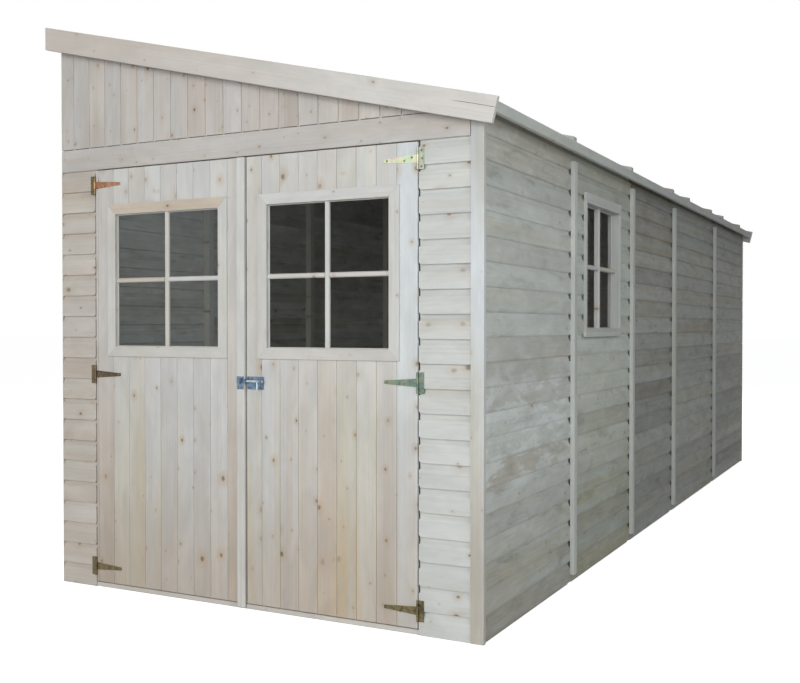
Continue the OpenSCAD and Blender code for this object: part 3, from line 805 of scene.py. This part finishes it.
# the laps are notched beside the doors
for node, out, face, mat, mood, cuts in (
    ("front_wall_left", -Y, -FRONT, W_CLAD, PINKISH, (0.0, DOOR_NOTCH)),
    ("front_wall_right", -Y, -FRONT, W_RIGHT, BLUISH, (DOOR_NOTCH, 0.0)),
    ("back_wall", Y, BACK, W_CLAD, MIXED, (0.0, 0.0)),
):
    lo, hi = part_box(node)
    p = Piece(node + "_boards", "shed", "clad_wood", mat, node, mood=mood)
    start = lo.x
    if lo.x < LEFT + MM:
        # a thin strip closes the ends of the boards at the left corner
        start = lo.x + END_STRIP
        board(p, lo, Vector((start, hi.y, hi.z)), Z, Y, END_STRIP_EDGE)
    shiplap(p, out, X, face, start, hi.x, lo.z, hi.z, CRISP, cuts)
    p.make()

# the gable's boards: their width, a groove's place, the gaps below and above them, how far a tongue
# reaches each side of its groove, its depths, and the depths of the batten behind the lower gap
GABLE_PITCH = 87.2 * MM
GABLE_LINE = -0.9257
GABLE_GAP = 3 * MM
GABLE_SEAT = 0.3 * MM
TONGUE_REACH = (-1 * MM, 8 * MM)
TONGUE_DEPTHS = (1 * MM, BOARD_T)
GAP_BATTEN = (11 * MM, BOARD_T - 1 * MM)
HEADER_SHORT = 2.5 * MM
HEADER_EDGE = 2 * MM
HEADER_TONE = (0.52, 0.1, 0.2)
for end, out, face in (("front", -Y, -FRONT), ("back", Y, BACK)):
    lo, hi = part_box(end + "_gable")
    gap = lo.z, lo.z + GABLE_GAP
    p = Piece(end + "_gable_boards", "shed", "clad_wood", W_GABLE, end + "_gable", mood=DULL)
    upright(p, out, face, lo.x, hi.x, lambda x: gap[1], lambda x: under(x) - GABLE_SEAT,
            GABLE_LINE, GABLE_PITCH)
    # the tongues reach down past the boards' lower ends
    x = GABLE_LINE - GABLE_PITCH * math.floor((GABLE_LINE - lo.x) / GABLE_PITCH)
    while x < hi.x:
        block(p, out, face, [x + reach for reach in TONGUE_REACH], TONGUE_DEPTHS, gap, Z, X)
        x += GABLE_PITCH
    block(p, out, face, (lo.x, hi.x), GAP_BATTEN, gap, X, Z)
    p.make()
    # the header board stops short of the corner board
    lo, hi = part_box(end + "_header")
    p = Piece(end + "_header_board", "shed", "trim_wood", W_GABLE, end + "_header")
    board(p, lo, hi - X * HEADER_SHORT, X, Z, HEADER_EDGE, HEADER_TONE)
    p.make()

# the cladding runs behind the face of the side window's near jamb
JAMB = 17 * MM
pane_lo, pane_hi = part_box("side_window_glass")
SIDE_HOLE = (pane_lo.y, pane_hi.y + JAMB, pane_lo.z - JAMB, pane_hi.z + JAMB)
# the right wall's panels behind the window's panel are darker, a painted shade for the weaker light far
# along the wall
WINDOW_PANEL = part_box("right_wall_window_panel")


def panel_mood(y):
    """The tones of the right wall's panel whose near end is at y; the far panels' darker tones are a
    painted shade.
    """
    if y < WINDOW_PANEL[1].y - PITCH:
        return NEAR
    return THIRD if y < WINDOW_PANEL[1].y + PITCH else FAR


def notch(y):
    """How far the laps are cut at a panel's end at y: longer at the far joints, not at the corners."""
    if abs(y) > BACK - PITCH:
        return 0.0
    return SIDE_NOTCH if y < WINDOW_PANEL[1].y + PITCH else FAR_NOTCH


LEFT_TOP = under(LEFT + BOARD_T)
for node, out, face, top, mat, hole in (
    ("right_wall_panels", X, RIGHT, LOW_TOP, W_SIDE, None),
    ("right_wall_window_panel", X, RIGHT, LOW_TOP, W_SIDE, SIDE_HOLE),
    ("left_wall_panels", -X, -LEFT, LEFT_TOP, W_LEFT, None),
):
    p = Piece(node + "_boards", "shed", "clad_wood", mat, node)
    for lo, hi in boxes(node):
        p.mood = panel_mood(lo.y) if out.x > 0 else NEAR
        # the laps are notched under the battens
        cuts = notch(lo.y), notch(hi.y)
        shiplap(p, out, Y, face, lo.y, hi.y, lo.z, top, ROUND, cuts, SIDE_PHASE - PITCH, hole)
    p.make()

# Boards that keep the CAD shape, with eased edges

for node, slot, mat, along, across in (
    ("corner_boards", "trim_wood", W_CORNER, Z, X),
    ("right_wall_battens", "trim_wood", W_COOL, Z, Y),
    ("left_wall_battens", "trim_wood", W_COOL, Z, Y),
    ("barge_boards", "trim_wood", W_BARGE, SLOPE, RISE),
    ("eaves_board", "trim_wood", W_COOL, Y, Z),
    ("high_edge_board", "trim_wood", W_TRIM, Y, Z),
    ("roof_cover_strips", "roof_wood", W_ROOF, SLOPE, Y),
):
    dressed(node, "shed", slot, mat, along, across)
for node, along, across in (
    ("rafters", SLOPE, RISE),
    ("front_posts", Z, X),
    ("front_head_rail", X, Z),
    ("right_wall_studs", Z, Y),
    ("left_wall_studs", Z, Y),
    ("right_wall_rails", Y, Z),
    ("left_wall_rails", Y, Z),
    ("back_posts", Z, X),
    ("back_rails", X, Z),
):
    dressed(node, "shed", "frame_wood", W_FRAME, along, across)

SILL_TONE = (0.25, 0.0, 0.5)
dressed("front_sill", "shed", "trim_wood", W_TRIM, X, Z, tone=SILL_TONE)

# Roof boards along the eaves, panel by panel

# the gap over the walls, the gap at each end of the slope, and the boards' eased edges above and below
ROOF_SEAT = 0.1 * MM
ROOF_END = 4.5 * MM
TOP_EASE = 2.5 * MM
FOOT_EASE = 0.7 * MM
p = Piece("roof_panel_boards", "shed", "roof_wood", W_ROOF, "roof_panels")
for lo, hi in boxes("roof_panels"):
    start = Vector((lo.x, 0, under(lo.x) + ROOF_SEAT))
    run = (hi.x - lo.x) / ROOF_COS - ROOF_END
    s = ROOF_END
    shoulder = BOARD_T - TOP_EASE
    while s < run - SLIVER:
        e = min(s + PITCH, run)
        ring = [
            (s, FOOT_EASE), (s, shoulder), (s + TOP_EASE, BOARD_T), (e - TOP_EASE, BOARD_T),
            (e, shoulder), (e, FOOT_EASE), (e - FOOT_EASE, 0.0), (s + FOOT_EASE, 0.0),
        ]
        p.prism(*[[start + SLOPE * a + RISE * b + Y * y for a, b in ring] for y in (lo.y, hi.y)], Y, SLOPE)
        s = e
p.make()

# Windows


def mitred(piece, c, u, out, w, h, width, thick, sides=(0, 1, 2, 3), tone=None, edge=1.4 * MM):
    """Mitred boards round a w by h pane, foot first, their backs on the plane through c."""
    inner = [(-w / 2, -h / 2), (w / 2, -h / 2), (w / 2, h / 2), (-w / 2, h / 2)]
    outer = [(a + math.copysign(width, a), b + math.copysign(width, b)) for a, b in inner]
    for i in sides:
        j = (i + 1) % 4
        corners = outer[i], outer[j], inner[j], inner[i]
        bm = bmesh.new()
        back, front = [
            [bm.verts.new(c + u * a + Z * b + out * d) for a, b in corners] for d in (0.0, thick)
        ]
        bm.faces.new(back[::-1])
        bm.faces.new(front)
        for k in range(4):
            m = (k + 1) % 4
            bm.faces.new((back[k], back[m], front[m], front[k]))
        ease(bm, edge)
        piece.solids(bm, *((u, Z) if i % 2 == 0 else (Z, u)), tone)


# glazing bars: half their width at the glass and at the front, their chamfer, the gap at the ends of the
# upright one, and how far each half of the level one is moved from a quarter of the width and cut short
BAR_HALF = 9.5 * MM
BAR_FRONT = 6 * MM
BAR_CHAMFER = 4 * MM
BAR_GAP = 0.3 * MM
LEVEL_OFF = 4.5 * MM
LEVEL_CUT = 5 * MM
# the beads round the glass: how much less they leave open than the pane, width, thickness and edge
BEAD_IN = 7 * MM
BEAD_W = 3.4 * MM
BEAD_T = 5 * MM
BEAD_EDGE = 0.8 * MM


def bar(piece, c, half, along, across, out, deep):
    """A glazing bar with chamfered front edges, half its length each way from c on the glass."""
    side = deep - BAR_CHAMFER
    ring = [(-BAR_HALF, 0.0), (BAR_HALF, 0.0), (BAR_HALF, side),
            (BAR_FRONT, deep), (-BAR_FRONT, deep), (-BAR_HALF, side)]
    rings = [[c + along * s + across * a + out * d for a, d in ring] for s in (-half, half)]
    piece.prism(*rings, along, across)


def glazing(tag, body, out, u, deep):
    """Crossed bars, as deep as given, and thin beads on the glass of one four-pane window."""
    glo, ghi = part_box(tag + "_glass")
    w, h = abs((ghi - glo).dot(u)), ghi.z - glo.z
    pane = max(glo.dot(out), ghi.dot(out))
    middle = (glo + ghi) / 2
    c = middle + out * (pane - middle.dot(out))
    p = Piece(tag + "_glazing_bars", body, "trim_wood", W_TRIM)
    bar(p, c, h / 2 - BAR_GAP, Z, u, out, deep)
    for s in (-1, 1):
        bar(p, c + u * (s * (w / 4 + LEVEL_OFF)), w / 4 - LEVEL_CUT, u, Z, out, deep)
    mitred(p, c, u, out, w - BEAD_IN, h - BEAD_IN, BEAD_W, BEAD_T, edge=BEAD_EDGE)
    p.make()
    paint(tag + "_glass", M_GLASS)
    return c, w, h


def paint(node, mat):
    """Gives a CAD node that stays as it is its material."""
    NODES[node].data.materials.clear()
    NODES[node].data.materials.append(mat)


CASING_TONE = (0.5, 0.2, 0.6)
HEAD = 2
for tag, sides in (("left_door", (0, 1, 3)), ("right_door", (0, 1, 2, 3))):
    c, w, h = glazing(tag, tag, -Y, X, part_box(tag + "_glass")[0].y - FRONT)
    lo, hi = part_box(tag + "_window_frame")
    casing = Vector((c.x, hi.y, c.z)), X, -Y, w, h, (hi.z - lo.z - h) / 2, hi.y - lo.y
    p = Piece(tag + "_window_boards", tag, "trim_wood", W_TRIM, tag + "_window_frame")
    mitred(p, *casing, sides, CASING_TONE)
    p.make()
    # the head of the left window is a browner board
    if HEAD not in sides:
        p = Piece(tag + "_window_head", tag, "trim_wood", W_TAN)
        mitred(p, *casing, (HEAD,))
        p.make()

# the side window's boards pass through the wall, with a taller head and foot in front of it
SIDE_BAR_D = 23 * MM
glazing("side_window", "shed", X, Y, SIDE_BAR_D)
lo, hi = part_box("side_window_frame")
foot, head = pane_lo.z - JAMB, pane_hi.z + JAMB
p = Piece("side_window_boards", "shed", "trim_wood", W_COOL, "side_window_frame")
for y, x0, x1 in ((lo.y, lo.x, RIGHT - BOARD_T), (lo.y, RIGHT, hi.x), (pane_hi.y, lo.x, hi.x)):
    board(p, Vector((x0, y, foot)), Vector((x1, y + JAMB, head)), Z, X)
for z in (foot, pane_hi.z):
    board(p, Vector((lo.x, pane_lo.y, z)), Vector((hi.x, pane_hi.y, z + JAMB)), Y, X)
for z0, z1 in ((lo.z, foot), (head, hi.z)):
    board(p, Vector((RIGHT, lo.y, z0)), Vector((hi.x, hi.y, z1)), Y, Z)
p.make()

# Doors

# the doors' boards: their width, their grooves' width and the place of one groove on each door
DOOR_PITCH = 83.6 * MM
DOOR_GROOVE = 1.0 * MM
DOOR_LINES = {"left_door": -0.7072, "right_door": 0.4584}
STRIP_TONE = (0.6, 0.0, 0.9)
for body, line in DOOR_LINES.items():
    lo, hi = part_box(body + "_leaf")
    glo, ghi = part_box(body + "_glass")
    hole = glo.x, ghi.x, glo.z, ghi.z
    p = Piece(body + "_boards", body, "door_wood", W_DOOR, body + "_leaf", mood=VARIED)
    upright(p, -Y, -lo.y, lo.x, hi.x, lambda x: lo.z, lambda x: hi.z, line, DOOR_PITCH, hole, DOOR_GROOVE)
    p.make()
    dressed(body + "_ledges", body, "frame_wood", W_FRAME, X, Z)
dressed("left_door_cover_strip", "left_door", "trim_wood", W_TRIM, Z, X, tone=STRIP_TONE)

# Metal

paint("hinge_plates", M_PLATE)
paint("left_door_straps", M_LEFT_STRAP)
paint("right_door_straps", M_RIGHT_STRAP)
paint("bolt_plate", M_BOLT)
paint("bolt_keeper", M_BOLT)
paint("bolt_rod", M_ROD)


# Screws: points round a head, and radius on the hinges and on the bolt
RIM = 16
SCREW_R = 4.0 * MM
BOLT_SCREW_R = 3.4 * MM
# on a hinge, the metal's front and the screws' places in mm from the pin and above the strap's middle
HINGE_TOP = FRONT - 2.5 * MM
STRAP_SCREWS = ((24, 6), (54, -5), (124, 0))
PLATE_SCREWS = ((14, -29), (17, 0), (14, 29))
# on the bolt, the metal's thickness and the screws' places above its foot and in from its ends
BOLT_METAL = 2 * MM
BOLT_SCREW_UP = 7 * MM
BOLT_PLATE_IN = 18 * MM
KEEPER_IN = 6 * MM


def screws(name, body, spots, r=SCREW_R):
    """Screw heads with a crossed recess, seated on metal that faces the front."""
    bm = bmesh.new()
    angles = [math.tau * i / RIM for i in range(RIM)]
    # radius and height in mm of each ring of the head, and of the far and near points of the cross
    head = [(r, 0.0), (r, 0.5), (r * 0.82, 1.1), (r * 0.45, 1.3)]
    arm, hollow = (r * 0.34, 0.2), (r * 0.16, 1.1)

    def point(c, angle, radius, height):
        flat = X * (math.cos(angle) * radius) + Z * (math.sin(angle) * radius)
        return bm.verts.new(c + flat - Y * (height * MM))

    for c in spots:
        turn = RNG.uniform(0, 1.5)
        rings = [[point(c, angle, *ring) for angle in angles] for ring in head]
        cross = [point(c, angle + turn, *(hollow if i % 4 else arm)) for i, angle in enumerate(angles)]
        rings.append(cross)
        for a, b in zip(rings, rings[1:]):
            for i in range(RIM):
                j = (i + 1) % RIM
                bm.faces.new((a[i], a[j], b[j], b[i]))
        bm.faces.new(cross)
        bm.faces.new(rings[0][::-1])
    bmesh.ops.recalc_face_normals(bm, faces=bm.faces)
    me = bpy.data.meshes.new(name)
    bm.to_mesh(me)
    bm.free()
    show(me, M_SCREW, body)


def hinge_spots(pin, way, z, places):
    """Places of a strap's or a plate's screws, one way from the pin."""
    return [Vector((pin + way * d * MM, HINGE_TOP, z + dz * MM)) for d, dz in places]


plate_spots = []
for side, way in (("left", 1), ("right", -1)):
    straps = boxes(side + "_door_straps")
    pin = next(j["pos_m"][0] for j in frame["joints"] if j["name"] == side + "_door_hinge")
    strap_spots = []
    for lo, hi in straps:
        z = (lo.z + hi.z) / 2
        strap_spots += hinge_spots(pin, way, z, STRAP_SCREWS)
        plate_spots += hinge_spots(pin, -way, z, PLATE_SCREWS)
    screws(side + "_strap_screws", side + "_door", strap_spots)
screws("plate_screws", "shed", plate_spots)
for name, body, node, inset in (
    ("bolt_plate_screws", "right_door", "bolt_plate", BOLT_PLATE_IN),
    ("keeper_screws", "left_door", "bolt_keeper", KEEPER_IN),
):
    lo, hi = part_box(node)
    ends = lo.x + inset, hi.x - inset
    spots = [Vector((x, hi.y - BOLT_METAL, lo.z + BOLT_SCREW_UP)) for x in ends]
    screws(name, body, spots, BOLT_SCREW_R)

# Stage, light and camera


def backdrop_ray(nt):
    """1 for the rays that should see the white backdrop: camera, glossy and transmission."""
    path = nt.nodes.new("ShaderNodeLightPath")
    out = path.outputs["Is Camera Ray"]
    for name in ("Is Glossy Ray", "Is Transmission Ray"):
        node = nt.nodes.new("ShaderNodeMath")
        node.operation = "MAXIMUM"
        nt.links.new(out, node.inputs[0])
        nt.links.new(path.outputs[name], node.inputs[1])
        out = node.outputs[0]
    return out


FLOOR_HALF = 90.0
FLOOR_GLOW = 0.9
FLOOR_GREY = (0.7, 0.7, 0.7, 1)
SKY = (0.95, 1.0, 0.98, 1)
SKY_STRENGTH = 0.13

t = Tree("stage_floor")
diffuse = t.new("ShaderNodeBsdfDiffuse")
diffuse.inputs["Color"].default_value = FLOOR_GREY
glow = t.new("ShaderNodeEmission")
# the floor inside the walls is lit by the lamps alone
x, y, _ = t.parts(t.new("ShaderNodeTexCoord").outputs["Object"])
off_middle = t.math("ABSOLUTE", t.math("SUBTRACT", x, (LEFT + RIGHT) / 2))
beside = t.math("GREATER_THAN", off_middle, (RIGHT - LEFT) / 2 - BOARD_T)
beyond = t.math("GREATER_THAN", t.math("ABSOLUTE", y), BACK - BOARD_T)
outside = t.math("MAXIMUM", beside, beyond)
t.put(glow.inputs["Strength"], t.times(backdrop_ray(t.nt), outside, FLOOR_GLOW))
both = t.new("ShaderNodeAddShader")
t.put(both.inputs[0], diffuse.outputs[0])
t.put(both.inputs[1], glow.outputs[0])
t.put(t.new("ShaderNodeOutputMaterial").inputs["Surface"], both.outputs[0])
me = bpy.data.meshes.new("stage_floor")
square = ((-1, -1), (1, -1), (1, 1), (-1, 1))
me.from_pydata([(a * FLOOR_HALF, b * FLOOR_HALF, -MM) for a, b in square], [], [(0, 1, 2, 3)])
me.materials.append(t.mat)
floor = bpy.data.objects.new("stage_floor", me)
bpy.context.scene.collection.objects.link(floor)
floor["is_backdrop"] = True

world = bpy.data.worlds.new("studio")
bpy.context.scene.world = world
world.use_nodes = True
nt = world.node_tree
nt.nodes.clear()
kinds = "Background", "Background", "MixShader", "OutputWorld"
sky, white, pick, sink = [nt.nodes.new("ShaderNode" + kind) for kind in kinds]
sky.inputs["Color"].default_value = SKY
sky.inputs["Strength"].default_value = SKY_STRENGTH
white.inputs["Color"].default_value = (1, 1, 1, 1)
nt.links.new(backdrop_ray(nt), pick.inputs[0])
nt.links.new(sky.outputs[0], pick.inputs[1])
nt.links.new(white.outputs[0], pick.inputs[2])
nt.links.new(pick.outputs[0], sink.inputs["Surface"])


def soft_light(name, at, target, size, power, color):
    """A rectangular lamp at one place that faces another."""
    data = bpy.data.lights.new(name, "AREA")
    data.shape = "RECTANGLE"
    data.size, data.size_y = size
    data.energy, data.color = power, color
    ob = bpy.data.objects.new(name, data)
    ob.location = at
    ob.rotation_euler = (Vector(target) - Vector(at)).to_track_quat("-Z", "Y").to_euler()
    bpy.context.scene.collection.objects.link(ob)


soft_light("key", at=(1.0, -10.5, 2.7), target=(0.0, -2.7, 1.0), size=(7.0, 4.6), power=430,
           color=(1.0, 0.995, 0.985))
soft_light("fill", at=(4.6, -4.4, 2.4), target=(1.0, -2.2, 1.0), size=(3.0, 2.5), power=66,
           color=(0.95, 1.0, 0.98))
soft_light("back", at=(-6.0, 8.0, 3.2), target=(-0.5, 1.5, 1.0), size=(6.0, 4.0), power=520,
           color=(1.0, 1.0, 1.0))
soft_light("inside", at=(0.0, -2.45, 1.8), target=(-0.5, -0.6, 0.8), size=(1.2, 0.3), power=2.0,
           color=(0.95, 1.0, 0.97))

# The camera as fitted to the photograph: width and focal length in pixels, turn to the left and tilt
# upwards, and place to the right of the near corner, in front of it and above the floor
PHOTO_W = 800.0
FOCAL = 1027.03
SENSOR = 36.0
YAW = math.radians(27.247)
TILT = math.radians(-0.8404)
CAMERA_RIGHT = 1.35674
CAMERA_FRONT = 3.26741
CAMERA_UP = 1.10068
CAMERA_RANGE = (0.05, 400.0)
data = bpy.data.cameras.new("photo_camera")
data.sensor_fit = "HORIZONTAL"
data.sensor_width = SENSOR
data.lens = SENSOR * FOCAL / PHOTO_W
data.clip_start, data.clip_end = CAMERA_RANGE
camera = bpy.data.objects.new("photo_camera", data)
bpy.context.scene.collection.objects.link(camera)
ahead = Vector((-math.sin(YAW) * math.cos(TILT), math.cos(YAW) * math.cos(TILT), math.sin(TILT)))
sideways = Vector((math.cos(YAW), math.sin(YAW), 0.0))
turn = Matrix((sideways, sideways.cross(ahead), -ahead)).transposed().to_4x4()
turn.translation = Vector((RIGHT + CAMERA_RIGHT, FRONT - CAMERA_FRONT, CAMERA_UP))
camera.matrix_world = turn
bpy.context.scene.camera = camera
bpy.context.scene.view_settings.view_transform = "Standard"

lo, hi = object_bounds()
